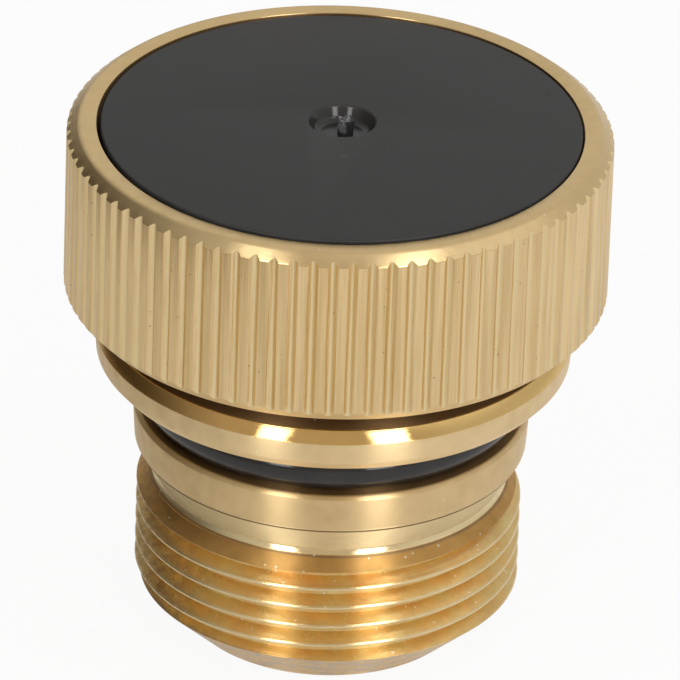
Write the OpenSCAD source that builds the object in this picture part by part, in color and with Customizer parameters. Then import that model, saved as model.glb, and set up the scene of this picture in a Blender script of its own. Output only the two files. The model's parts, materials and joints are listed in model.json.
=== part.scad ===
// Screw-in drain plug: a turned brass body with a knurled thumb head and a sealing collar,
// a rubber sealing ring in the groove under the collar, and a moulded plastic disc let into the head.
// Millimetres, standing on its end face, +Z along the turning axis towards the head.

/* [Head] */
// Outside diameter over the knurl
head_d = 37.8; // [36.2:0.1:44]
// Height of the head from its underside to the rim
head_h = 12.92; // [8:0.02:20]
// Width of the chamfer round the rim
rim_chamfer_w = 0.85; // [0.2:0.05:1]
// Height of the chamfer round the rim
rim_chamfer_h = 0.7; // [0.2:0.05:2]
// Width of the chamfer round the underside of the head
foot_chamfer_w = 0.83; // [0.2:0.01:2]
// Height of the chamfer round the underside of the head
foot_chamfer_h = 0.87; // [0.2:0.01:2]

/* [Knurl] */
// Number of straight grooves round the head
knurl_count = 88; // [40:1:100]
// Depth of a groove
knurl_depth = 0.36; // [0.2:0.02:0.6]
// Width of a groove at the surface of the head
knurl_mouth_w = 0.68; // [0.4:0.02:0.9]
// Width of a groove at its floor
knurl_floor_w = 0.24; // [0.1:0.02:0.36]

/* [Recess and disc] */
// Diameter of the recess in the head
recess_d = 33.7; // [28:0.1:35.2]
// Depth of the recess below the rim
recess_depth = 3.1; // [2:0.1:5]
// Gap between the disc and the wall of the recess
disc_gap = 0.2; // [0.05:0.05:0.5]
// How far the face of the disc lies below the rim
disc_set_back = 0; // [0:0.05:0.4]
// Chamfer round the face of the disc
disc_edge = 0.15; // [0.05:0.05:0.4]
// Diameter of the moulding dimple near the middle of the disc
dimple_d = 4.7; // [3:0.1:8]
// Depth of the moulding dimple
dimple_depth = 0.95; // [0.3:0.05:1.4]
// How far the dimple lies off the middle of the disc
dimple_shift = 0.75; // [0:0.05:2]
// Diameter of the broken sprue left in the dimple
sprue_d = 1.1; // [0.8:0.1:2.4]
// Height of the broken sprue above the bottom of the dimple
sprue_h = 0.95; // [0.2:0.05:1.5]

/* [Neck and collar] */
// Diameter of the neck between head and collar
neck_d = 26.4; // [22:0.1:31]
// Height of the neck
neck_h = 1.97; // [1:0.01:5]
// Diameter of the collar that seats on the housing
collar_d = 33.32; // [31.5:0.02:36]
// Width of the chamfer at the top edge of the collar
collar_chamfer_w = 0.48; // [0.1:0.02:1]
// Height of the chamfer at the top edge of the collar
collar_chamfer_h = 0.89; // [0.1:0.01:2]
// Height of the nearly straight band of the collar
collar_band_h = 1.53; // [0.5:0.01:4]
// How much that band takes off the radius on its way down
collar_band_in = 0.12; // [0:0.01:0.4]
// Width of the chamfer between the band and the seat face
collar_edge_w = 0.64; // [0.1:0.02:1]
// Height of the chamfer between the band and the seat face
collar_edge_h = 0.74; // [0.1:0.02:2]

/* [Sealing ring and groove] */
// Thickness of the rubber ring's cord
cord_d = 3; // [2:0.1:4]
// Diameter of the groove floor that carries the ring
groove_root_d = 21.4; // [16:0.1:22.5]
// Clearance between the ring and the groove floor
cord_root_gap = 0.02; // [0:0.01:0.2]
// Room beside the ring in the groove
cord_side_play = 0.48; // [0.05:0.01:1.5]

/* [Guide land] */
// Diameter of the land just below the ring
land_d = 27.74; // [27.3:0.02:30]
// Width of the chamfer at the top edge of the land
land_edge_w = 0.23; // [0.05:0.01:0.6]
// Height of the chamfer at the top edge of the land
land_edge_h = 0.28; // [0.05:0.01:0.6]
// Height of the nearly straight band of the land
land_band_h = 2.44; // [1:0.01:5]
// How much that band takes off the radius on its way down
land_band_in = 0.15; // [0:0.01:0.5]
// Height of the cone that leads down into the thread relief
land_cone_h = 2.47; // [1:0.01:5]

/* [Thread] */
// Major diameter of the thread
thread_d = 27; // [25:0.5:27]
// Pitch of the thread, which sets the depth of its relief
thread_pitch = 1.5; // [1:0.25:2]
// Length of the threaded stretch below its lead-in
thread_h = 6.86; // [4:0.02:20]
// How far the relief lies below the root of the thread
relief_undercut = 0.29; // [0.02:0.01:0.4]
// Height of the lead-in between the relief and the thread
lead_in_h = 1.27; // [0.8:0.01:2.5]
// Diameter of the flat end face
end_d = 19.6; // [12:0.1:23]
// Height of the chamfer from the end face to the thread
end_chamfer_h = 3.45; // [1:0.05:5]

/* [Hidden] */
$fn = 180;

// Root depth of a metric outside thread as a share of its pitch
ROOT_SHARE = 0.6134;
// How far a cutter runs past the surface it cuts
over = 1;

brass = [0.80, 0.64, 0.38];
black_plastic = [0.20, 0.20, 0.20];
black_rubber = [0.10, 0.10, 0.10];

// Radii
head_r = head_d / 2;
recess_r = recess_d / 2;
collar_r = collar_d / 2;
collar_low_r = collar_r - collar_band_in;
groove_root_r = groove_root_d / 2;
land_r = land_d / 2;
thread_r = thread_d / 2;
relief_r = thread_r - ROOT_SHARE * thread_pitch - relief_undercut;

// Heights, from the end face up
thread_z = end_chamfer_h;
lead_in_z = thread_z + thread_h;
relief_z = lead_in_z + lead_in_h;
land_z = relief_z + land_cone_h;
land_edge_z = land_z + land_band_h;
groove_z = land_edge_z + land_edge_h;
seat_z = groove_z + cord_d + cord_side_play;
collar_band_z = seat_z + collar_edge_h;
collar_chamfer_z = collar_band_z + collar_band_h;
neck_z = collar_chamfer_z + collar_chamfer_h;
head_z = neck_z + neck_h;
rim_z = head_z + head_h;
recess_z = rim_z - recess_depth;

// Disc and sealing ring
disc_r = recess_r - disc_gap;
disc_h = recess_depth - disc_set_back;
dimple_ball_r = (dimple_d * dimple_d / 4 + dimple_depth * dimple_depth) / (2 * dimple_depth);
ring_r = groove_root_r + cord_root_gap + cord_d / 2;

// Half of the section from the middle of the end face up to the groove floor
function shank_points() = [
    [0, 0],
    [end_d / 2, 0],
    [thread_r, thread_z],
    [thread_r, lead_in_z],
    [relief_r, relief_z],
    [land_r - land_band_in, land_z],
    [land_r, land_edge_z],
    [land_r - land_edge_w, groove_z],
    [groove_root_r, groove_z]
];

// The section from the groove floor up over the collar to the neck
function collar_points() = [
    [groove_root_r, seat_z],
    [collar_low_r - collar_edge_w, seat_z],
    [collar_low_r, collar_band_z],
    [collar_r, collar_chamfer_z],
    [collar_r - collar_chamfer_w, neck_z],
    [neck_d / 2, neck_z],
    [neck_d / 2, head_z]
];

// The section of the head with its chamfers and the recess for the disc
function head_points() = [
    [head_r - foot_chamfer_w, head_z],
    [head_r, head_z + foot_chamfer_h],
    [head_r, rim_z - rim_chamfer_h],
    [head_r - rim_chamfer_w, rim_z],
    [recess_r, rim_z],
    [recess_r, recess_z],
    [0, recess_z]
];

// The body as it leaves the lathe, before the knurl
module turned_body() {
    rotate_extrude() polygon(concat(shank_points(), collar_points(), head_points()));
}

// One straight groove with sloping walls, standing at the edge of the head on the +X side
module knurl_groove() {
    wall_slope = (knurl_mouth_w - knurl_floor_w) / 2 / knurl_depth;
    outer_half_w = knurl_mouth_w / 2 + over * wall_slope;
    translate([0, 0, head_z - over]) linear_extrude(head_h + 2 * over) polygon([
        [head_r - knurl_depth, -knurl_floor_w / 2],
        [head_r + over, -outer_half_w],
        [head_r + over, outer_half_w],
        [head_r - knurl_depth, knurl_floor_w / 2]
    ]);
}

// Body: end chamfer, thread blank, relief, guide land, ring groove, collar, neck and knurled head
module plug_body() {
    color(brass) difference() {
        turned_body();
        for (i = [0 : knurl_count - 1]) rotate([0, 0, i * 360 / knurl_count]) knurl_groove();
    }
}

// Moulded disc that lies on the floor of the recess, with its dimple and broken sprue
module head_insert() {
    color(black_plastic) translate([0, 0, recess_z]) {
        difference() {
            rotate_extrude() polygon([
                [0, 0],
                [disc_r, 0],
                [disc_r, disc_h - disc_edge],
                [disc_r - disc_edge, disc_h],
                [0, disc_h]
            ]);
            translate([0, dimple_shift, disc_h - dimple_depth + dimple_ball_r]) sphere(dimple_ball_r);
        }
        translate([0, dimple_shift, disc_h / 4])
            cylinder(h = 3 * disc_h / 4 - dimple_depth + sprue_h, d = sprue_d);
    }
}

// Rubber ring lying on the land, round the floor of the groove
module o_ring() {
    color(black_rubber) translate([0, 0, groove_z + cord_d / 2]) rotate_extrude() translate([ring_r, 0])
        circle(d = cord_d);
}

plug_body();
head_insert();
o_ring();
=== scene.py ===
# %% [markdown]
# # A brass drain plug
#
# The object is a screw-in drain plug. A body turned from brass bar carries a knurled thumb head, a
# collar, a groove for a rubber ring, a guide land and a thread. A black plastic disc is let into
# the head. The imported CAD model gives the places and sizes. This script puts the finish on it:
# the cut thread, rounded corners, tool lines, moulding marks, and the studio it stands in.

import json
import math

import bmesh
import bpy
from mathutils import Matrix, Vector

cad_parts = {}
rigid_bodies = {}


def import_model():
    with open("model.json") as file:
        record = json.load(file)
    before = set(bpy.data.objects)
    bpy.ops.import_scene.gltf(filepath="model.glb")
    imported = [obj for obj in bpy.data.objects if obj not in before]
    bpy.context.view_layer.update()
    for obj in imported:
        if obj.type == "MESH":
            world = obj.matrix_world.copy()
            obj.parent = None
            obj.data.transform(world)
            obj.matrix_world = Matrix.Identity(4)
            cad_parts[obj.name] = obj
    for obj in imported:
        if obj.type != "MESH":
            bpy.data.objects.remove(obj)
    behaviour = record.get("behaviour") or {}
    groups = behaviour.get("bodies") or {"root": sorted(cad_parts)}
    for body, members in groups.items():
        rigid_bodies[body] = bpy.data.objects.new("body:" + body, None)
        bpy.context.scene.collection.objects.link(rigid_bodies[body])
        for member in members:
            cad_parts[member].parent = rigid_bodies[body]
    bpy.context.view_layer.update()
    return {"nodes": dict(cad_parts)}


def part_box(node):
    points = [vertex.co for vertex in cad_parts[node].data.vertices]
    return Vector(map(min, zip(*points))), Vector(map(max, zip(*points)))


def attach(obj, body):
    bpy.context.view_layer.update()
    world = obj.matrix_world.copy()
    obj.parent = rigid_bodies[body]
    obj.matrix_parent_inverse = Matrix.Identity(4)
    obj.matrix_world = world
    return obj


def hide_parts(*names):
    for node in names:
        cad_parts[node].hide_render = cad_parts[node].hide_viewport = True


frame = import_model()
print("nodes:", sorted(frame["nodes"]))

# %% [markdown]
# ## Sizes
#
# The outer sizes are read from the frame, so they follow the CAD model. The smaller ones, such as
# chamfers, are the same named values as in the CAD source. Blender works in metres here, so every
# value in millimetres is multiplied by `MM` once.

# %% Sizes read from the frame
MM = 0.001
TURN = 2 * math.pi
body_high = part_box("plug_body")[1]
disc_low, disc_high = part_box("head_insert")
ring_low, ring_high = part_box("o_ring")
rim_z = body_high.z
disc_r = disc_high.x
recess_z = disc_low.z
ring_outer_r = ring_high.x
cord_d = ring_high.z - ring_low.z
groove_z = ring_low.z
print(f"height {rim_z / MM:.2f} mm, disc {2 * disc_r / MM:.2f} mm wide, cord {cord_d / MM:.2f} mm")

# %% Sizes shared with the CAD source
head_r = 18.9 * MM
head_z = rim_z - 12.92 * MM
rim_chamfer_w = 0.85 * MM
rim_chamfer_h = 0.7 * MM
foot_chamfer_w = 0.83 * MM
foot_chamfer_h = 0.87 * MM
knurl_count = 88
knurl_depth = 0.36 * MM
knurl_mouth_w = 0.68 * MM
recess_r = disc_r + 0.2 * MM
neck_r = 13.2 * MM
collar_top_z = head_z - 1.97 * MM
collar_r = 16.66 * MM
collar_chamfer_w = 0.48 * MM
collar_chamfer_h = 0.89 * MM
collar_low_r = 16.54 * MM
collar_edge_w = 0.64 * MM
collar_edge_h = 0.74 * MM
seat_z = groove_z + cord_d + 0.48 * MM
groove_root_r = 10.7 * MM
land_r = 13.87 * MM
land_edge_w = 0.23 * MM
land_edge_h = 0.28 * MM
land_low_r = 13.72 * MM
land_low_z = groove_z - land_edge_h - 2.44 * MM
relief_r = 12.29 * MM
relief_z = land_low_z - 2.47 * MM
thread_r = 13.5 * MM
thread_top_z = relief_z - 1.27 * MM
thread_low_z = 3.45 * MM
end_r = 9.8 * MM
pitch = 1.5 * MM
print(f"thread from {thread_low_z / MM:.2f} to {thread_top_z / MM:.2f} mm above the end face")

# %% [markdown]
# ## Helpers for modelling
#
# An operator works on whatever is selected, so each helper clears the selection first. A turned
# part is best drawn as half of its section: one vertex is extruded from point to point, and the
# line is then spun round the axis. `draw_line` makes such a line from a plane whose corners are
# merged into a single vertex.

# %% Selecting
def deselect_all():
    if bpy.context.object and bpy.context.object.mode != "OBJECT":
        bpy.ops.object.mode_set(mode="OBJECT")
    bpy.ops.object.select_all(action="DESELECT")


def make_active(piece):
    deselect_all()
    piece.select_set(True)
    bpy.context.view_layer.objects.active = piece


def edit_all(piece):
    """Ends in edit mode, with everything in the piece selected."""
    make_active(piece)
    bpy.ops.object.mode_set(mode="EDIT")
    bpy.ops.mesh.select_all(action="SELECT")


def select_vertices(piece, test):
    """Ends in edit mode, with those vertices selected whose place passes the test."""
    make_active(piece)
    bpy.ops.object.mode_set(mode="EDIT")
    bpy.ops.mesh.select_mode(type="VERT")
    bpy.ops.mesh.select_all(action="DESELECT")
    edit_mesh = bmesh.from_edit_mesh(piece.data)
    for vertex in edit_mesh.verts:
        vertex.select = test(vertex.co)
    edit_mesh.select_flush(True)
    bmesh.update_edit_mesh(piece.data)


# %% Drawing a section
def draw_line(name, points, closed=False):
    """A line of edges through points, extruded one after the other from a single vertex."""
    deselect_all()
    start = Vector(points[0])
    bpy.ops.mesh.primitive_plane_add(size=MM, location=start)
    piece = bpy.context.object
    piece.name = name
    bpy.ops.object.transform_apply()
    edit_all(piece)
    bpy.ops.mesh.merge(type="CENTER")
    for before, after in zip(points, points[1:]):
        step = Vector(after) - Vector(before)
        bpy.ops.mesh.extrude_region_move(TRANSFORM_OT_translate={"value": step})
    if closed:
        bpy.ops.mesh.select_all(action="SELECT")
        bpy.ops.mesh.edge_face_add()
    bpy.ops.object.mode_set(mode="OBJECT")
    return piece


def round_corner(piece, corner, size, segments=3):
    """Rounds one corner of a drawn line."""
    place = Vector(corner)
    select_vertices(piece, lambda co: (co - place).length < 0.002 * MM)
    bpy.ops.mesh.bevel(offset=size, segments=segments, affect="VERTICES")
    bpy.ops.object.mode_set(mode="OBJECT")


def spin_round(piece, steps):
    """Spins a drawn line once round the turning axis and closes the seam and the poles."""
    select_vertices(piece, lambda co: True)
    bpy.ops.mesh.spin(steps=steps, angle=TURN, center=(0, 0, 0), axis=(0, 0, 1))
    bpy.ops.mesh.select_all(action="SELECT")
    bpy.ops.mesh.remove_doubles(threshold=0.0005 * MM)
    bpy.ops.mesh.normals_make_consistent(inside=False)
    bpy.ops.object.mode_set(mode="OBJECT")


def cut_away(piece, cutter, operation="DIFFERENCE"):
    """Cuts with the cutter, applies the cut and throws the cutter away."""
    make_active(piece)
    cut = piece.modifiers.new("cut", "BOOLEAN")
    cut.operation = operation
    cut.solver = "MANIFOLD"
    cut.object = cutter
    bpy.ops.object.modifier_apply(modifier=cut.name)
    bpy.data.objects.remove(cutter)


def triangles(piece):
    return sum(len(face.vertices) - 2 for face in piece.data.polygons)


# %% [markdown]
# ## The body
#
# The real body is turned from bar, so it is drawn as a half section and spun. The corners are
# rounded a little first, because a tool never leaves a perfectly sharp corner, and a rounded one
# catches a thin line of light. Where two passes of the tool meet just below the guide land, a fine
# line is left. The cone below it ends in a narrow facet, which shows as a bright bar in the photo.

# %% Half section of the body
def at(r, z):
    return (r, 0, z)


corner_rounding = 0.05 * MM
line_w = 0.16 * MM
line_depth = 0.03 * MM
line_drop = 0.09 * MM
cone_slope = (land_low_r - relief_r) / (land_low_z - relief_z)


def on_cone(drop, depth=0):
    """A point of the cone below the guide land, so far below its top and so deep inside it."""
    return at(land_low_r - cone_slope * drop - depth, land_low_z - drop)


lip_rounding = 0.12 * MM
rim_rounding = 0.2 * MM
facet_w = 0.2 * MM
facet_h = 0.22 * MM
facet_rise = 0.14 * MM
foot_rounding = 0.08 * MM
shank = [
    at(0, 0),
    at(end_r, 0),
    at(thread_r, thread_low_z),
    at(thread_r, thread_top_z),
    at(relief_r + facet_w, relief_z - facet_h),
    at(relief_r, relief_z + facet_rise),
    on_cone(line_drop + line_w),
    on_cone(line_drop + line_w / 2, line_depth),
    on_cone(line_drop),
    at(land_low_r, land_low_z),
    at(land_r, groove_z - land_edge_h),
    at(land_r - land_edge_w, groove_z),
    at(groove_root_r, groove_z),
]
collar = [
    at(groove_root_r, seat_z),
    at(collar_low_r - collar_edge_w, seat_z),
    at(collar_low_r, seat_z + collar_edge_h),
    at(collar_r, collar_top_z - collar_chamfer_h),
    at(collar_r - collar_chamfer_w, collar_top_z),
    at(neck_r, collar_top_z),
]
head = [
    at(neck_r, head_z),
    at(head_r - foot_chamfer_w, head_z),
    at(head_r, head_z + foot_chamfer_h),
    at(head_r, rim_z - rim_chamfer_h),
    at(head_r - rim_chamfer_w, rim_z),
    at(recess_r, rim_z),
    at(recess_r, recess_z),
    at(0, recess_z),
]
body = draw_line("turned_body", shank + collar + head)
relief_foot = at(relief_r, relief_z + facet_rise)
land_lip = at(land_r - land_edge_w, groove_z)
rim_edge = at(head_r - rim_chamfer_w, rim_z)
round_corner(body, relief_foot, foot_rounding, segments=4)
round_corner(body, land_lip, lip_rounding, segments=4)
round_corner(body, rim_edge, rim_rounding, segments=5)
for corner in shank[1:] + collar + head[:-1]:
    if corner not in (relief_foot, land_lip, rim_edge):
        round_corner(body, corner, corner_rounding, segments=2)
spin_round(body, steps=4 * knurl_count)
print("turned body:", triangles(body), "triangles")

# %% [markdown]
# ## The knurl
#
# The straight knurl is a ring of equal grooves along the head. One groove cutter is modelled as a
# drawn section pushed along the head, copied round it with Spin's duplicates, and taken away from
# the body in one cut. Its section is one wave of a cosine with a widened floor, so floor, walls and
# the shoulders of the lands run softly into each other, as a knurling wheel leaves them. A knurl is
# pressed in, not milled, so no two grooves are quite alike: a Displace modifier with a cloud
# texture makes the cutters a little uneven.

# %% One groove cutter
past = 0.5 * MM
shoulder = 0.05 * MM
above_surface = 0.005 * MM
wave_half_w = knurl_mouth_w / 2 + shoulder
wave_depth = 0.8 * knurl_depth
floor_widening = 0.75
wave_steps = 7
wall = []
for step in range(wave_steps + 1):
    share = step / wave_steps
    depth_share = ((1 + math.cos(math.pi * share)) / 2) ** floor_widening
    wall.append((head_r - wave_depth * depth_share, wave_half_w * share))
wall[-1] = (head_r + above_surface, wave_half_w)
wall.append((head_r + past, wave_half_w + shoulder))
groove_low_z = head_z - past
section = [(r, -half_w, groove_low_z) for r, half_w in reversed(wall)]
section += [(r, half_w, groove_low_z) for r, half_w in wall[1:]]
cutter = draw_line("knurl_cutter", section, closed=True)
edit_all(cutter)
up_the_head = Vector((0, 0, rim_z - head_z + 2 * past))
bpy.ops.mesh.extrude_region_move(TRANSFORM_OT_translate={"value": up_the_head})
bpy.ops.mesh.select_all(action="SELECT")
bpy.ops.mesh.normals_make_consistent(inside=False)
bpy.ops.object.mode_set(mode="OBJECT")
print("groove cutter:", len(cutter.data.vertices), "vertices")

# %% All the grooves
edit_all(cutter)
bpy.ops.mesh.spin(
    steps=knurl_count - 1, dupli=True, angle=TURN * (knurl_count - 1) / knurl_count,
    center=(0, 0, 0), axis=(0, 0, 1),
)
bpy.ops.object.mode_set(mode="OBJECT")
unevenness = bpy.data.textures.new("unevenness", "CLOUDS")
unevenness.noise_scale = 1.6 * MM
uneven = cutter.modifiers.new("uneven", "DISPLACE")
uneven.texture = unevenness
uneven.texture_coords = "LOCAL"
uneven.strength = 0.16 * MM
uneven.mid_level = 0.5
make_active(cutter)
bpy.ops.object.modifier_apply(modifier=uneven.name)
cut_away(body, cutter)
print("with the knurl:", triangles(body), "triangles")

# %% [markdown]
# ## The thread
#
# The CAD model leaves the thread as a plain cylinder. Here a V-shaped section is carried up a
# helix by the Screw modifier, which makes a cutter like the path of the threading tool, and that
# cutter is taken away from the body. It starts below the end face and leaves in the relief, so
# the groove runs out at both ends as it does on the real thread. The section flares out near its
# mouth, which slants the edges of the crests. They turn up towards the lamps there and shine.

# %% The thread cutter
root_r = thread_r - 0.6134 * pitch
flank_slope = math.tan(math.radians(30))
half_root = pitch / 14
wear_r = thread_r - 0.07 * MM
half_wear = half_root + (wear_r - root_r) * flank_slope
half_open = half_wear + 0.115 * MM
thread_past = 0.2 * MM
groove_turns = 8
steps_per_turn = 176
run_out = 0.155 * MM
groove_start_z = relief_z + run_out - groove_turns * pitch
half_tool = [
    (root_r, half_root),
    (wear_r, half_wear),
    (thread_r, half_open),
    (thread_r + thread_past, half_open),
]
tool = [at(r, groove_start_z - half_w) for r, half_w in half_tool]
tool += [at(r, groove_start_z + half_w) for r, half_w in reversed(half_tool)]
cutter = draw_line("thread_cutter", tool, closed=True)
edit_all(cutter)
bpy.ops.mesh.delete(type="ONLY_FACE")
bpy.ops.object.mode_set(mode="OBJECT")
screw = cutter.modifiers.new("helix", "SCREW")
screw.axis = "Z"
screw.screw_offset = pitch
screw.iterations = groove_turns
screw.steps = steps_per_turn
screw.render_steps = steps_per_turn
screw.use_normal_calculate = True
bpy.ops.object.modifier_apply(modifier=screw.name)
edit_all(cutter)
bpy.ops.mesh.fill_holes(sides=0)
bpy.ops.mesh.normals_make_consistent(inside=False)
bpy.ops.object.mode_set(mode="OBJECT")
cut_away(body, cutter)
make_active(body)
bpy.ops.object.shade_smooth_by_angle(angle=math.radians(28))
print("with the thread:", triangles(body), "triangles")

# %% [markdown]
# ## The plastic disc
#
# The disc is moulded. Near its middle is the dimple where the plastic was let into the mould, with
# the broken stub of the sprue in it. The disc is a cylinder, and the dimple is cut with a punch
# that is spun from its half section: a steep wall and a flat floor with a short slope between them.
# Both edges of the disc and the lip of the dimple are then beveled, because moulded edges are soft.
# The underside starts a little above the floor of the recess, because the disc is tilted later on.

# %% Disc blank and dimple
dimple_d = 4.7 * MM
dimple_depth = 0.95 * MM
dimple_shift = 0.75 * MM
wall_in = 0.38 * MM
wall_drop = 0.78 * MM
slope_in = 0.8 * MM
disc_top_z = rim_z
disc_foot_z = disc_low.z + 0.15 * MM
deselect_all()
bpy.ops.mesh.primitive_cylinder_add(
    vertices=256, radius=disc_r, depth=disc_top_z - disc_foot_z,
    location=(0, 0, (disc_top_z + disc_foot_z) / 2),
)
disc = bpy.context.object
disc.name = "moulded_disc"
bpy.ops.object.transform_apply()
wall_foot = at(dimple_d / 2 - wall_in, disc_top_z - wall_drop)
floor_edge = at(dimple_d / 2 - slope_in, disc_top_z - dimple_depth)
pocket = [
    at(0, disc_top_z - dimple_depth),
    floor_edge,
    wall_foot,
    at(dimple_d / 2, disc_top_z),
    at(dimple_d / 2, disc_top_z + 1 * MM),
    at(0, disc_top_z + 1 * MM),
]
punch = draw_line("dimple_punch", pocket)
round_corner(punch, floor_edge, 0.12 * MM, segments=4)
round_corner(punch, wall_foot, 0.15 * MM, segments=5)
spin_round(punch, steps=96)
edit_all(punch)
bpy.ops.transform.translate(value=(0, dimple_shift, 0))
bpy.ops.object.mode_set(mode="OBJECT")
cut_away(disc, punch)
make_active(disc)
rounding = disc.modifiers.new("rounding", "BEVEL")
rounding.width = 0.14 * MM
rounding.segments = 4
rounding.angle_limit = math.radians(12)
bpy.ops.object.modifier_apply(modifier=rounding.name)
print("disc:", triangles(disc), "triangles")

# %% [markdown]
# The stub broke off when the disc was torn from its sprue, so its top is rough. It starts as a
# cylinder whose top is inset five times, so that there are enough vertices to push about. A
# Displace modifier with a cloud texture roughens the top, and the upper part is leaned a little to
# one side. Its foot reaches below the floor of the dimple, so a Union joins it to the disc.

# %% The broken sprue
sprue_r = 0.56 * MM
sprue_h = 1.1 * MM
sprue_foot_z = disc_top_z - dimple_depth - 0.3 * MM
sprue_top_z = disc_top_z - dimple_depth + sprue_h
rough_h = 0.2 * MM
leaning_h = 0.4 * MM
lean = 0.1 * MM
off_middle = 0.24 * MM
deselect_all()
bpy.ops.mesh.primitive_cylinder_add(
    vertices=32, radius=sprue_r, depth=sprue_top_z - sprue_foot_z, end_fill_type="NGON",
    location=(0, dimple_shift, (sprue_top_z + sprue_foot_z) / 2),
)
sprue = bpy.context.object
sprue.name = "sprue"
bpy.ops.object.transform_apply()
bpy.ops.object.mode_set(mode="EDIT")
bpy.ops.mesh.select_mode(type="FACE")
bpy.ops.mesh.select_all(action="DESELECT")
edit_mesh = bmesh.from_edit_mesh(sprue.data)
for face in edit_mesh.faces:
    face.select = face.normal.z > 0.9
bmesh.update_edit_mesh(sprue.data)
for ring in range(5):
    bpy.ops.mesh.inset(thickness=0.09 * MM)
bpy.ops.mesh.select_all(action="SELECT")
bpy.ops.mesh.subdivide(number_cuts=1)
bpy.ops.object.mode_set(mode="OBJECT")
top_group = sprue.vertex_groups.new(name="broken_top")
top_vertices = [v.index for v in sprue.data.vertices if v.co.z > sprue_top_z - rough_h]
top_group.add(top_vertices, 1.0, "ADD")
crumble = bpy.data.textures.new("crumble", "CLOUDS")
crumble.noise_scale = 0.35 * MM
crumble.noise_depth = 3
rough = sprue.modifiers.new("rough", "DISPLACE")
rough.texture = crumble
rough.texture_coords = "LOCAL"
rough.vertex_group = "broken_top"
rough.strength = 0.6 * MM
rough.mid_level = 0.55
bpy.ops.object.modifier_apply(modifier=rough.name)
select_vertices(sprue, lambda co: co.z > sprue_top_z - leaning_h)
bpy.ops.transform.translate(value=(lean, 0, 0))
bpy.ops.mesh.select_all(action="SELECT")
bpy.ops.transform.translate(value=(off_middle, 0, 0))
bpy.ops.object.mode_set(mode="OBJECT")
cut_away(disc, sprue, operation="UNION")
print("stub: top", round(sprue_h / MM, 2), "mm above the floor of the dimple")

# %% [markdown]
# The disc wasn't pressed in quite level: the photo shows its front edge standing a little above
# the rim. So the finished disc is tilted about its middle and moved by a few hundredths.

# %% The tilt of the disc
disc_tilt = math.radians(0.46)
disc_offset = (0.07 * MM, 0, 0.06 * MM)
edit_all(disc)
bpy.ops.transform.rotate(value=disc_tilt, orient_axis="X", center_override=(0, 0, disc_top_z))
bpy.ops.transform.translate(value=disc_offset)
bpy.ops.object.mode_set(mode="OBJECT")
front_z = max(vertex.co.z for vertex in disc.data.vertices if vertex.co.y < -0.97 * disc_r)
print(f"front edge of the disc stands {(front_z - rim_z) / MM:.2f} mm above the rim")
make_active(disc)
bpy.ops.object.shade_smooth_by_angle(angle=math.radians(30))
print("disc with sprue:", triangles(disc), "triangles")

# %% [markdown]
# ## The rubber ring
#
# An O-ring is a torus. The mould it was pressed in parts at its widest circle, where a fine flash
# line is left. The edge loop at that circle is beveled into a narrow band, and the middle of the
# band is pushed out a hair.

# %% Ring with its flash line
flash_h = 0.03 * MM
flash_half_w = 0.06 * MM
deselect_all()
bpy.ops.mesh.primitive_torus_add(
    major_segments=256, minor_segments=64, major_radius=ring_outer_r - cord_d / 2,
    minor_radius=cord_d / 2 - flash_h, location=(0, 0, groove_z + cord_d / 2),
)
rubber_ring = bpy.context.object
rubber_ring.name = "sealing_ring"
bpy.ops.object.transform_apply()
equator_r = ring_outer_r - flash_h - 0.001 * MM
select_vertices(rubber_ring, lambda co: co.xy.length > equator_r)
bpy.ops.mesh.bevel(offset=flash_half_w, segments=2, affect="EDGES")
bpy.ops.object.mode_set(mode="OBJECT")
select_vertices(rubber_ring, lambda co: co.xy.length > equator_r)
grow = ring_outer_r / (ring_outer_r - flash_h)
bpy.ops.transform.resize(value=(grow, grow, 1), center_override=(0, 0, 0))
bpy.ops.object.mode_set(mode="OBJECT")
make_active(rubber_ring)
bpy.ops.object.shade_smooth()
print("ring:", triangles(rubber_ring), "triangles")

# %% [markdown]
# ## Finishes
#
# A material is a small network of nodes. Most of what makes these surfaces real is in where a
# finish or a painted tone changes: the thread is deeper gold than the bands, partly from warm
# oxide patches and partly as painted reflection of brass in brass, the faced rim is smoother than
# the collar, and painted shade darkens the narrow gap under the head. So the first node group
# finds out where on a turned part a point lies, from its radius and its height.

# %% Helpers for nodes
def connect(tree, socket, value):
    """Links a node's output into a socket, or sets the socket to a number, a colour or a vector."""
    if isinstance(value, bpy.types.NodeSocket):
        tree.links.new(value, socket)
    elif socket.type == "RGBA":
        socket.default_value = (*value, 1.0)
    else:
        socket.default_value = value


def add_node(tree, kind, inputs=None, **settings):
    """Adds a node, sets its properties and fills its sockets."""
    node = tree.nodes.new(kind)
    for key, value in settings.items():
        setattr(node, key, value)
    for socket, value in (inputs or {}).items():
        connect(tree, node.inputs[socket], value)
    return node


def arithmetic(tree, operation, *terms, clamp=False):
    """A Math node. Each term is a number or the output of another node."""
    inputs = dict(enumerate(terms))
    return add_node(tree, "ShaderNodeMath", inputs, operation=operation, use_clamp=clamp).outputs[0]


def noise(tree, vector, scale, detail, roughness=0.5):
    """The value of a Noise Texture node."""
    inputs = {"Vector": vector, "Scale": scale, "Detail": detail, "Roughness": roughness}
    return add_node(tree, "ShaderNodeTexNoise", inputs).outputs["Fac"]


def new_group(name, inputs, outputs):
    """An empty node group with named sockets, and its input and output nodes."""
    group = bpy.data.node_groups.new(name, "ShaderNodeTree")
    for label, kind, value in inputs:
        socket = group.interface.new_socket(label, in_out="INPUT", socket_type="NodeSocket" + kind)
        if value is not None:
            socket.default_value = value
    for label, kind in outputs:
        group.interface.new_socket(label, in_out="OUTPUT", socket_type="NodeSocket" + kind)
    return group, group.nodes.new("NodeGroupInput"), group.nodes.new("NodeGroupOutput")


def place_group(tree, group, inputs):
    return add_node(tree, "ShaderNodeGroup", inputs, node_tree=group)


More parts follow.
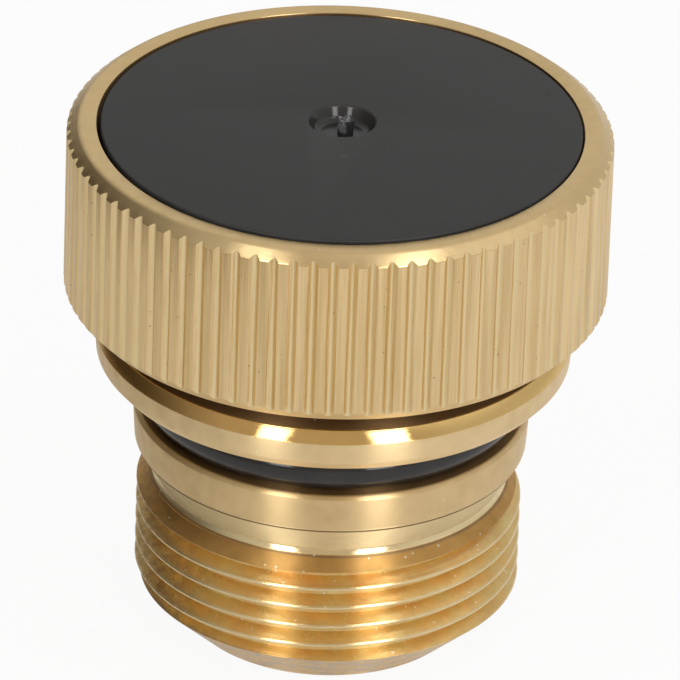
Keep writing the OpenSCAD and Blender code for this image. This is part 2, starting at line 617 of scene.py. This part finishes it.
# %% Group: radius and height on a turned part, in millimetres
turned_place, enter, leave = new_group(
    "turned_place",
    [("Vector", "Vector", None)],
    [("Radius", "Float"), ("Height", "Float"), ("Section", "Vector")],
)
point = enter.outputs["Vector"]
flat = add_node(turned_place, "ShaderNodeVectorMath", {0: point, 1: (1, 1, 0)}, operation="MULTIPLY")
length = add_node(turned_place, "ShaderNodeVectorMath", {0: flat.outputs[0]}, operation="LENGTH")
radius = arithmetic(turned_place, "MULTIPLY", length.outputs["Value"], 1 / MM)
split = add_node(turned_place, "ShaderNodeSeparateXYZ", {0: point})
height = arithmetic(turned_place, "MULTIPLY", split.outputs["Z"], 1 / MM)
section_point = add_node(turned_place, "ShaderNodeCombineXYZ", {"X": radius, "Z": height})
turned_place.links.new(radius, leave.inputs["Radius"])
turned_place.links.new(height, leave.inputs["Height"])
turned_place.links.new(section_point.outputs[0], leave.inputs["Section"])

# %% Group: a zone between two radii and two heights
zone, enter, leave = new_group(
    "zone",
    [("Radius", "Float", 0.0), ("Height", "Float", 0.0), ("Inner", "Float", 0.0), ("Outer", "Float", 30.0),
     ("Low", "Float", -1.0), ("High", "Float", 60.0), ("Soft", "Float", 0.1)],
    [("Mask", "Float")],
)


def above(value, limit):
    """A soft step: 0 below the limit, 1 above it."""
    gap = arithmetic(zone, "SUBTRACT", value, limit)
    share = arithmetic(zone, "DIVIDE", gap, enter.outputs["Soft"])
    return arithmetic(zone, "ADD", share, 0.5, clamp=True)


steps = [
    above(enter.outputs["Radius"], enter.outputs["Inner"]),
    above(enter.outputs["Outer"], enter.outputs["Radius"]),
    above(enter.outputs["Height"], enter.outputs["Low"]),
    above(enter.outputs["High"], enter.outputs["Height"]),
]
product = steps[0]
for step in steps[1:]:
    product = arithmetic(zone, "MULTIPLY", product, step)
zone.links.new(product, leave.inputs["Mask"])

# %% Group: mottling of a given size
mottle, enter, leave = new_group(
    "mottle",
    [("Vector", "Vector", None), ("Size", "Float", 2.0), ("Contrast", "Float", 1.0)],
    [("Value", "Float")],
)
scale = arithmetic(mottle, "DIVIDE", 1 / MM, enter.outputs["Size"])
cloud = noise(mottle, enter.outputs["Vector"], scale, 4.0, 0.6)
swing = arithmetic(mottle, "MULTIPLY", arithmetic(mottle, "SUBTRACT", cloud, 0.5), enter.outputs["Contrast"])
mottle.links.new(arithmetic(mottle, "ADD", swing, 0.5, clamp=True), leave.inputs["Value"])

# %% Group: scattered specks, such as dust, pits and tiny nicks
specks, enter, leave = new_group(
    "specks",
    [("Vector", "Vector", None), ("Spacing", "Float", 1.0), ("Size", "Float", 0.1), ("Share", "Float", 0.3)],
    [("Mask", "Float")],
)
scale = arithmetic(specks, "DIVIDE", 1 / MM, enter.outputs["Spacing"])
cells = add_node(specks, "ShaderNodeTexVoronoi", {"Vector": enter.outputs["Vector"], "Scale": scale})
far = arithmetic(specks, "MULTIPLY", cells.outputs["Distance"], enter.outputs["Spacing"])
inside = arithmetic(specks, "LESS_THAN", far, enter.outputs["Size"])
lot = add_node(specks, "ShaderNodeSeparateColor", {0: cells.outputs["Color"]})
chosen = arithmetic(specks, "LESS_THAN", lot.outputs[0], enter.outputs["Share"])
specks.links.new(arithmetic(specks, "MULTIPLY", inside, chosen), leave.inputs["Mask"])
print("node groups:", [group.name for group in bpy.data.node_groups])

# %% [markdown]
# ### Turned brass
#
# A lathe tool leaves fine rings. They smear every reflection along the section and keep it sharp
# round the part, so a lamp shows as an upright bright column. Anisotropic shading does that: its
# tangent is radial round Z and turned by a quarter. The rings that can be seen one by one are a
# noise of radius and height that feeds a Bump node.

# %% Helpers for a material
def new_material(name, **values):
    material = bpy.data.materials.new(name)
    material.use_nodes = True
    tree = material.node_tree
    principled = tree.nodes["Principled BSDF"]
    for socket, value in values.items():
        principled.inputs[socket.replace("_", " ")].default_value = value
    place = add_node(tree, "ShaderNodeTexCoord").outputs["Object"]
    return material, tree, principled, place


def mix_colours(tree, factor, low, high, blend_type="MIX"):
    inputs = {"Factor": factor, 6: low, 7: high}
    mixer = add_node(tree, "ShaderNodeMix", inputs, data_type="RGBA", blend_type=blend_type)
    return mixer.outputs[2]


def mix_numbers(tree, factor, low, high):
    return add_node(tree, "ShaderNodeMix", {"Factor": factor, 2: low, 3: high}).outputs[0]


def ramp(tree, value, start, end, low=0.0, high=1.0):
    """A soft ramp from low, where the value is at its start, to high, where it is at its end."""
    inputs = {"Value": value, "From Min": start, "From Max": end, "To Min": low, "To Max": high}
    return add_node(
        tree, "ShaderNodeMapRange", inputs, interpolation_type="SMOOTHSTEP"
    ).outputs["Result"]


def stretched(tree, vector, **settings):
    """A Mapping node: moves the coordinates or squeezes them along an axis."""
    return add_node(tree, "ShaderNodeMapping", {"Vector": vector, **settings}).outputs[0]


def mottling(tree, vector, size, contrast):
    """Clouds of about the given size in millimetres."""
    inputs = {"Vector": vector, "Size": size, "Contrast": contrast}
    return place_group(tree, mottle, inputs).outputs["Value"]


def scattering(tree, vector, spacing, size, share):
    """Round specks of the given radius. Only a share of the cells between them holds one."""
    inputs = {"Vector": vector, "Spacing": spacing, "Size": size, "Share": share}
    return place_group(tree, specks, inputs).outputs["Mask"]


def zone_mask(tree, where, low=-1 * MM, high=60 * MM, inner=0.0, outer=30 * MM, soft=0.1):
    """1 between two heights and two radii of a turned part, 0 elsewhere."""
    inputs = {"Radius": where.outputs["Radius"], "Height": where.outputs["Height"], "Soft": soft}
    for name, limit in (("Inner", inner), ("Outer", outer), ("Low", low), ("High", high)):
        inputs[name] = limit / MM
    return place_group(tree, zone, inputs).outputs["Mask"]


def add_bump(tree, height, distance, before=None):
    """A Bump node over an earlier one. Its distance is how far the height of 1 stands out."""
    inputs = {"Height": height, "Distance": distance}
    if before:
        inputs["Normal"] = before
    return add_node(tree, "ShaderNodeBump", inputs).outputs[0]


# %% Turned brass: tones and zones
plain_brass = (0.80, 0.58, 0.28)
pale_brass = (0.82, 0.605, 0.315)
light_brass = (0.91, 0.69, 0.38)
bright_brass = (0.92, 0.75, 0.44)
gold_brass = (0.82, 0.56, 0.22)
olive_brass = (0.86, 0.675, 0.31)
orange_brass = (0.90, 0.58, 0.22)
brown_brass = (0.50, 0.32, 0.15)
dull_brass = (0.78, 0.55, 0.24)
grey_brass = (0.57, 0.47, 0.37)
painted_shade_brown = (0.26, 0.155, 0.07)
ring_groove_shade = (0.46, 0.28, 0.125)
deep_brass = (0.76, 0.45, 0.15)
dark_gold = (0.70, 0.42, 0.15)
brass, tree, principled, place = new_material("turned_brass", Metallic=1.0, Anisotropic=1.0)
principled.inputs["Anisotropic Rotation"].default_value = 0.25
lay = add_node(tree, "ShaderNodeTangent", direction_type="RADIAL", axis="Z")
tree.links.new(lay.outputs[0], principled.inputs["Tangent"])
where = place_group(tree, turned_place, {"Vector": place})


def brass_zone(low, high, **limits):
    return zone_mask(tree, where, low, high, **limits)


end_zone = brass_zone(-1 * MM, thread_low_z - 0.15 * MM)
thread_zone = brass_zone(0.5 * MM, relief_z - 0.1 * MM, outer=thread_r - 0.06 * MM)
crest_zone = brass_zone(thread_low_z - 0.2 * MM, thread_top_z + 0.2 * MM, inner=thread_r - 0.06 * MM)
cone_zone = brass_zone(relief_z - 0.1 * MM, land_low_z)
facet_zone = brass_zone(relief_z - facet_h, relief_z + facet_rise - 0.02 * MM, soft=0.04)
lead_zone = brass_zone(thread_top_z + 0.02 * MM, relief_z - facet_h - 0.03 * MM, soft=0.06)
facet_shade_line_zone = brass_zone(relief_z - facet_h - 0.17 * MM, relief_z - facet_h - 0.02 * MM, soft=0.05)
line_zone = brass_zone(
    land_low_z - line_drop - line_w, land_low_z - line_drop, inner=land_low_r - 1 * MM, soft=0.04
)
groove_zone = brass_zone(
    groove_z - 0.05 * MM, seat_z + 0.05 * MM, outer=land_r - 0.34 * MM, soft=0.08
)
band_zone = brass_zone(seat_z + 0.1 * MM, collar_top_z - collar_chamfer_h, inner=land_r + 1 * MM)
chamfer_zone = brass_zone(collar_top_z - collar_chamfer_h, collar_top_z)
gap_zone = brass_zone(
    collar_top_z - 0.05 * MM, head_z + 0.1 * MM, outer=collar_r - collar_chamfer_w - 0.1 * MM
)
foot_zone = brass_zone(head_z, head_z + foot_chamfer_h)
edge_zone = brass_zone(rim_z - rim_chamfer_h - 0.1 * MM, rim_z - 0.05 * MM, inner=recess_r + 0.5 * MM)
rim_zone = brass_zone(rim_z - 0.05 * MM, rim_z + 1 * MM, inner=recess_r)
wall_zone = brass_zone(
    recess_z, rim_z - 0.06 * MM, inner=recess_r - 1 * MM, outer=recess_r + 0.06 * MM, soft=0.03
)

# %% Turned brass: colour by zone
flattened = stretched(tree, place, Scale=(1, 1, 2.2))
patches = mottling(tree, flattened, 2.2, 3.0)
stains = mottling(tree, flattened, 0.9, 5.0)
split = add_node(tree, "ShaderNodeSeparateXYZ", {"Vector": place})
# Brown stains grow towards minus X, the left side: real stains, strengthened there as painted shade.
left_shade_ramp = ramp(tree, split.outputs["X"], -7 * MM, -13 * MM, 0.12, 0.75)
shaded_side = ramp(tree, split.outputs["X"], -2 * MM, -7 * MM)
stains_and_left_shade = arithmetic(tree, "MULTIPLY", stains, left_shade_ramp)
gold = mix_colours(tree, patches, olive_brass, orange_brass)
colour = mix_colours(tree, cone_zone, pale_brass, bright_brass)
for mask, tone in (
    (band_zone, light_brass),
    (crest_zone, mix_colours(tree, stains_and_left_shade, bright_brass, brown_brass)),
    # Painted shade: the fine tool line below the guide land is painted dark brown.
    (line_zone, painted_shade_brown),
    # The thread and its lead-in are deeper gold: partly warm oxide patches, partly painted reflection of
    # brass in brass down in the valleys.
    (thread_zone, mix_colours(tree, stains_and_left_shade, gold, brown_brass)),
    (lead_zone, mix_colours(tree, stains_and_left_shade, deep_brass, brown_brass)),
    (facet_zone, bright_brass),
    # Painted shade: a thin dark brown line just below the bright facet.
    (facet_shade_line_zone, brown_brass),
    (end_zone, mix_colours(tree, stains, dull_brass, grey_brass)),
    (rim_zone, plain_brass),
    (foot_zone, plain_brass),
    (chamfer_zone, mix_colours(tree, shaded_side, gold_brass, dark_gold)),
    # Painted shade: the narrow gap under the head and the wall of the recess are painted dark brown.
    (gap_zone, painted_shade_brown),
    (wall_zone, painted_shade_brown),
    # Painted shade: the groove that holds the rubber ring, up to the land's lip, is painted dark brown.
    (groove_zone, ring_groove_shade),
):
    colour = mix_colours(tree, mask, colour, tone)

# %% Turned brass: handling marks, roughness and tool rings
handled = mottling(tree, place, 1.1, 1.4)
colour = mix_colours(tree, handled, colour, (0.90, 0.885, 0.86), "MULTIPLY")
flecks = arithmetic(tree, "MULTIPLY", scattering(tree, place, 0.7, 0.09, 0.5), thread_zone)
pits = arithmetic(tree, "MAXIMUM", scattering(tree, place, 1.0, 0.07, 0.22), flecks)
colour = mix_colours(tree, pits, colour, (0.93, 0.83, 0.62))
tree.links.new(colour, principled.inputs["Base Color"])
roughness = mix_numbers(tree, thread_zone, 0.34, 0.25)
for mask, value in (
    (crest_zone, 0.22),
    (lead_zone, 0.48),
    (cone_zone, 0.56),
    (facet_zone, 0.2),
    (chamfer_zone, 0.12),
    (edge_zone, 0.22),
    (rim_zone, 0.2),
    (arithmetic(tree, "MAXIMUM", gap_zone, wall_zone), 0.6),
):
    roughness = mix_numbers(tree, mask, roughness, value)
spread = arithmetic(tree, "MULTIPLY_ADD", handled, 0.12, -0.06)
tree.links.new(arithmetic(tree, "ADD", roughness, spread), principled.inputs["Roughness"])
smooth_zone = arithmetic(tree, "MAXIMUM", chamfer_zone, facet_zone)
rings = noise(tree, where.outputs["Section"], 7.0, 3.0, 0.7)
strength = mix_numbers(tree, cone_zone, mix_numbers(tree, thread_zone, 0.15, 0.3), 0.8)
strength = mix_numbers(tree, smooth_zone, strength, 0.04)
normal = add_bump(tree, arithmetic(tree, "MULTIPLY", rings, strength), 0.045 * MM)
fine_rings = noise(tree, where.outputs["Section"], 22.0, 1.0)
fine_strength = mix_numbers(tree, cone_zone, mix_numbers(tree, thread_zone, 0.35, 0.2), 1.6)
fine_strength = mix_numbers(tree, smooth_zone, fine_strength, 0.1)
normal = add_bump(tree, arithmetic(tree, "MULTIPLY", fine_rings, fine_strength), 0.03 * MM, normal)
normal = add_bump(tree, pits, 0.02 * MM, normal)
tree.links.new(normal, principled.inputs["Normal"])
print("turned brass:", len(tree.nodes), "nodes")

# %% [markdown]
# ### The knurled lands
#
# The lands between the grooves were pressed, not turned, so their finish is even in all directions.
# What shows there are fine upright scratches and a tone that changes a little from land to land.
# Noise stretched along Z gives both: its coordinates are squeezed in height before it is read.

# %% Knurled brass
rolled, tree, principled, place = new_material("knurled_brass", Metallic=1.0)
where = place_group(tree, turned_place, {"Vector": place})
upright = stretched(tree, place, Scale=(1, 1, 0.03))
scratches = noise(tree, upright, 5 / MM, 2.0, 0.6)
tones = mottling(tree, upright, 1.5, 2.4)
stripes = mottling(tree, upright, 0.42, 3.0)
clouds = mottling(tree, place, 0.8, 1.2)
pits = scattering(tree, place, 0.7, 0.06, 0.3)
# Painted shade: the floors and walls of the grooves, below the lands, are painted a deeper gold.
deep = zone_mask(tree, where, outer=head_r - 0.12 * MM, soft=0.12)
colour = mix_colours(tree, tones, (0.82, 0.60, 0.30), (0.94, 0.73, 0.42))
colour = mix_colours(tree, scratches, colour, (0.93, 0.91, 0.88), "MULTIPLY")
colour = mix_colours(tree, stripes, colour, (0.79, 0.76, 0.70), "MULTIPLY")
colour = mix_colours(tree, deep, colour, (0.80, 0.63, 0.35))
colour = mix_colours(tree, pits, colour, (0.45, 0.31, 0.15))
tree.links.new(colour, principled.inputs["Base Color"])
roughness = arithmetic(tree, "MULTIPLY_ADD", clouds, 0.14, 0.25)
tree.links.new(roughness, principled.inputs["Roughness"])
normal = add_bump(tree, stripes, 0.035 * MM)
normal = add_bump(tree, scratches, 0.016 * MM, normal)
normal = add_bump(tree, pits, -0.02 * MM, normal)
tree.links.new(normal, principled.inputs["Normal"])
print("knurled brass:", len(tree.nodes), "nodes")

# %% [markdown]
# ### Plastic and rubber
#
# The disc has the fine grain of its mould, cloudy patches and a few nicks. The dimple was not
# grained, so it is smoother and mirrors the lamps, and the torn stub is pale and rough. The rubber
# ring is smooth enough to mirror the brass beside it.

# %% Moulded plastic
plastic, tree, principled, place = new_material("moulded_plastic", Specular_IOR_Level=0.38)
from_dimple = stretched(tree, place, Location=(0, -dimple_shift, 0))
where = place_group(tree, turned_place, {"Vector": from_dimple})
dimple_foot_z = disc_top_z - dimple_depth
bowl = zone_mask(tree, where, high=disc_top_z - 0.06 * MM, outer=dimple_d / 2, soft=0.08)
stub = zone_mask(tree, where, low=dimple_foot_z + 0.25 * MM, outer=sprue_r + 0.1 * MM)
cloudy = mottling(tree, place, 3.0, 2.0)
colour = mix_colours(tree, cloudy, (0.019, 0.0188, 0.0184), (0.029, 0.0285, 0.028))
colour = mix_colours(tree, scattering(tree, place, 1.6, 0.06, 0.2), colour, (0.07, 0.07, 0.072))
nick = (14.16 * MM, 5.98 * MM, 0.3 * MM, (0.004, 0.004, 0.004))
scuff = (0.33 * MM, -4.52 * MM, 0.28 * MM, (0.06, 0.06, 0.06))
for mark_x, mark_y, mark_r, tone in (nick, scuff):
    from_mark = stretched(tree, place, Location=(-mark_x, -mark_y, 0))
    where_mark = place_group(tree, turned_place, {"Vector": from_mark})
    spot = zone_mask(tree, where_mark, outer=mark_r, soft=0.15)
    broken_up = mottling(tree, place, 0.25, 5.0)
    colour = mix_colours(tree, arithmetic(tree, "MULTIPLY", spot, broken_up), colour, tone)
torn = mix_colours(tree, mottling(tree, place, 0.3, 3.0), (0.02, 0.02, 0.022), (0.22, 0.22, 0.23))
colour = mix_colours(tree, stub, colour, torn)
tree.links.new(colour, principled.inputs["Base Color"])
roughness = mix_numbers(tree, cloudy, 0.46, 0.56)
roughness = mix_numbers(tree, bowl, roughness, 0.14)
roughness = mix_numbers(tree, stub, roughness, 0.35)
tree.links.new(roughness, principled.inputs["Roughness"])
grain = noise(tree, place, 9 / MM, 2.0, 0.6)
grained = arithmetic(tree, "MULTIPLY", grain, mix_numbers(tree, bowl, 1.0, 0.1))
tree.links.new(add_bump(tree, grained, 0.008 * MM), principled.inputs["Normal"])
print("plastic:", len(tree.nodes), "nodes")

# %% Rubber
rubber, tree, principled, place = new_material("ring_rubber", Specular_IOR_Level=0.4)
cloudy = mottling(tree, place, 1.6, 1.8)
colour = mix_colours(tree, cloudy, (0.014, 0.014, 0.015), (0.026, 0.025, 0.024))
colour = mix_colours(tree, scattering(tree, place, 0.8, 0.05, 0.15), colour, (0.09, 0.085, 0.075))
tree.links.new(colour, principled.inputs["Base Color"])
tree.links.new(mix_numbers(tree, cloudy, 0.09, 0.15), principled.inputs["Roughness"])
skin = noise(tree, place, 2 / MM, 3.0)
tree.links.new(add_bump(tree, skin, 0.006 * MM), principled.inputs["Normal"])
print("rubber:", len(tree.nodes), "nodes")

# %% Putting the finishes on
for piece, material in ((body, brass), (disc, plastic), (rubber_ring, rubber)):
    piece.data.materials.clear()
    piece.data.materials.append(material)
body.data.materials.append(rolled)
knurl_inner_r = head_r - 1.2 * knurl_depth
upright_limit = 0.2
knurled = 0
for face in body.data.polygons:
    middle = face.center
    in_head = middle.xy.length > knurl_inner_r and middle.z > head_z
    if in_head and abs(face.normal.z) < upright_limit:
        face.material_index = 1
        knurled += 1
print(knurled, "faces of the knurl")

# %% Joining the frame
for piece, node, slot in (
    (body, "plug_body", "turned_brass"),
    (disc, "head_insert", "black_plastic"),
    (rubber_ring, "o_ring", "black_rubber"),
):
    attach(piece, "root")
    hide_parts(node)

# %% Camera
elevation = math.radians(29.4)
azimuth = math.radians(-89.5)
roll = 0.035246
distance = 0.7263
aim_side = 0.457 * MM
aim_z = 21.41 * MM
right = Vector((-math.sin(azimuth), math.cos(azimuth), 0))
backward = Vector((
    math.cos(elevation) * math.cos(azimuth), math.cos(elevation) * math.sin(azimuth), math.sin(elevation)
))
upward = backward.cross(right)
aim = right * aim_side + Vector((0, 0, aim_z))
camera_x = math.cos(roll) * right + math.sin(roll) * upward
camera_y = -math.sin(roll) * right + math.cos(roll) * upward
camera_data = bpy.data.cameras.new("camera")
camera_data.sensor_width = 36
camera_data.lens = 551.6
camera = bpy.data.objects.new("camera", camera_data)
bpy.context.scene.collection.objects.link(camera)
camera.matrix_world = Matrix.Translation(aim + distance * backward) @ Matrix(
    (camera_x, camera_y, backward)
).transposed().to_4x4()
bpy.context.scene.camera = camera
print("camera at", [round(v, 4) for v in camera.location])

# %% [markdown]
# ## The studio
#
# Metal is as good as what it reflects. The floor is a matte pale sheet that keeps the soft
# shadow, and the camera sees it nearly white. Reflections see it partly as a graded sheet, greyer
# on the left and dark far to the left, which deepens the tone of the thread's left side. The room
# is painted by direction in the world: neutral, warmer behind the camera, dark at the far left,
# brighter at the upper right and behind the object. Two upright softboxes give the bright
# columns, and two small ones higher up light the chamfers.

# %% Floor
deselect_all()
bpy.ops.mesh.primitive_plane_add(size=6, location=(0, 0, 0))
floor = bpy.context.object
floor.name = "floor"
floor_material = bpy.data.materials.new("pale_floor")
floor_material.use_nodes = True
tree = floor_material.node_tree
tree.nodes.clear()
path = add_node(tree, "ShaderNodeLightPath")
seen_by_camera = arithmetic(tree, "MULTIPLY", path.outputs["Is Camera Ray"], 0.92)
spot = add_node(tree, "ShaderNodeTexCoord").outputs["Object"]
across = add_node(
    tree, "ShaderNodeVectorMath", {0: spot, 1: right}, operation="DOT_PRODUCT"
).outputs["Value"]
far_left = ramp(tree, across, -0.07, -0.16)
sideways = ramp(tree, across, -0.05, 0.02)
metal_share = mix_numbers(tree, far_left, 0.45, 1.0)
seen_by_metal = arithmetic(tree, "MULTIPLY", path.outputs["Is Glossy Ray"], metal_share)
share = arithmetic(tree, "ADD", seen_by_camera, seen_by_metal)
graded = mix_colours(tree, sideways, (0.71, 0.70, 0.68), (0.96, 0.96, 0.99))
graded = mix_colours(tree, far_left, graded, (0.16, 0.13, 0.09))
tone = mix_colours(tree, path.outputs["Is Camera Ray"], graded, (1.0, 1.0, 1.0))
matte = add_node(tree, "ShaderNodeBsdfDiffuse", {"Color": (0.8, 0.8, 0.8)})
glow = add_node(tree, "ShaderNodeEmission", {"Color": tone})
mix = add_node(tree, "ShaderNodeMixShader", {0: share, 1: matte.outputs[0], 2: glow.outputs[0]})
add_node(tree, "ShaderNodeOutputMaterial", {"Surface": mix.outputs[0]})
floor.data.materials.append(floor_material)

# %% Directions of the studio, from the camera's side
def direction(around_deg, up_deg):
    """A direction from the object: 0 is towards the camera, plus is to its right."""
    around = math.radians(around_deg) + azimuth
    up = math.radians(up_deg)
    return Vector((math.cos(up) * math.cos(around), math.cos(up) * math.sin(around), math.sin(up)))


# %% Room light
world = bpy.data.worlds.new("studio")
bpy.context.scene.world = world
world.use_nodes = True
tree = world.node_tree
tree.nodes.clear()
outward = add_node(tree, "ShaderNodeTexCoord").outputs["Generated"]


def patch(around_deg, up_deg, inner_deg, outer_deg):
    """How near a direction of the room is to a given one: 1 inside, 0 outside."""
    towards = direction(around_deg, up_deg)
    dot = add_node(tree, "ShaderNodeVectorMath", {0: outward, 1: towards}, operation="DOT_PRODUCT")
    start = math.cos(math.radians(outer_deg))
    end = math.cos(math.radians(inner_deg))
    return ramp(tree, dot.outputs["Value"], start, end)


room = mix_colours(tree, patch(5, 20, 10, 60), (0.62, 0.62, 0.60), (0.55, 0.49, 0.41))
room = mix_colours(tree, patch(-120, -2, 0, 80), room, (0.07, 0.06, 0.045))
room = mix_colours(tree, patch(80, 55, 10, 40), room, (0.95, 0.95, 0.95))
room = mix_colours(tree, patch(180, 30, 10, 38), room, (0.68, 0.68, 0.68))
path = add_node(tree, "ShaderNodeLightPath")
room = mix_colours(tree, path.outputs["Is Camera Ray"], room, (1.0, 1.0, 1.0))
sky = add_node(tree, "ShaderNodeBackground", {"Color": room})
add_node(tree, "ShaderNodeOutputWorld", {"Surface": sky.outputs[0]})

# %% Softboxes
lamp_reach = 1.0


def softbox(name, around_deg, up_deg, width, height, power):
    data = bpy.data.lights.new(name, "AREA")
    data.shape = "RECTANGLE"
    data.size = width
    data.size_y = height
    data.energy = power
    lamp = bpy.data.objects.new(name, data)
    bpy.context.scene.collection.objects.link(lamp)
    back = direction(around_deg, up_deg)
    facing = back.to_track_quat("Z", "Y").to_matrix().to_4x4()
    lamp.matrix_world = Matrix.Translation(back * lamp_reach) @ facing


softbox("right_softbox", 28.5, 25, 0.26, 0.60, 2.95)
softbox("left_softbox", -27, 25, 0.215, 0.60, 2.35)
softbox("upper_right_softbox", 50, 60, 0.18, 0.22, 0.5)
softbox("upper_left_softbox", -48, 60, 0.17, 0.22, 0.36)
bpy.context.scene.view_settings.view_transform = "Standard"
print("studio ready")
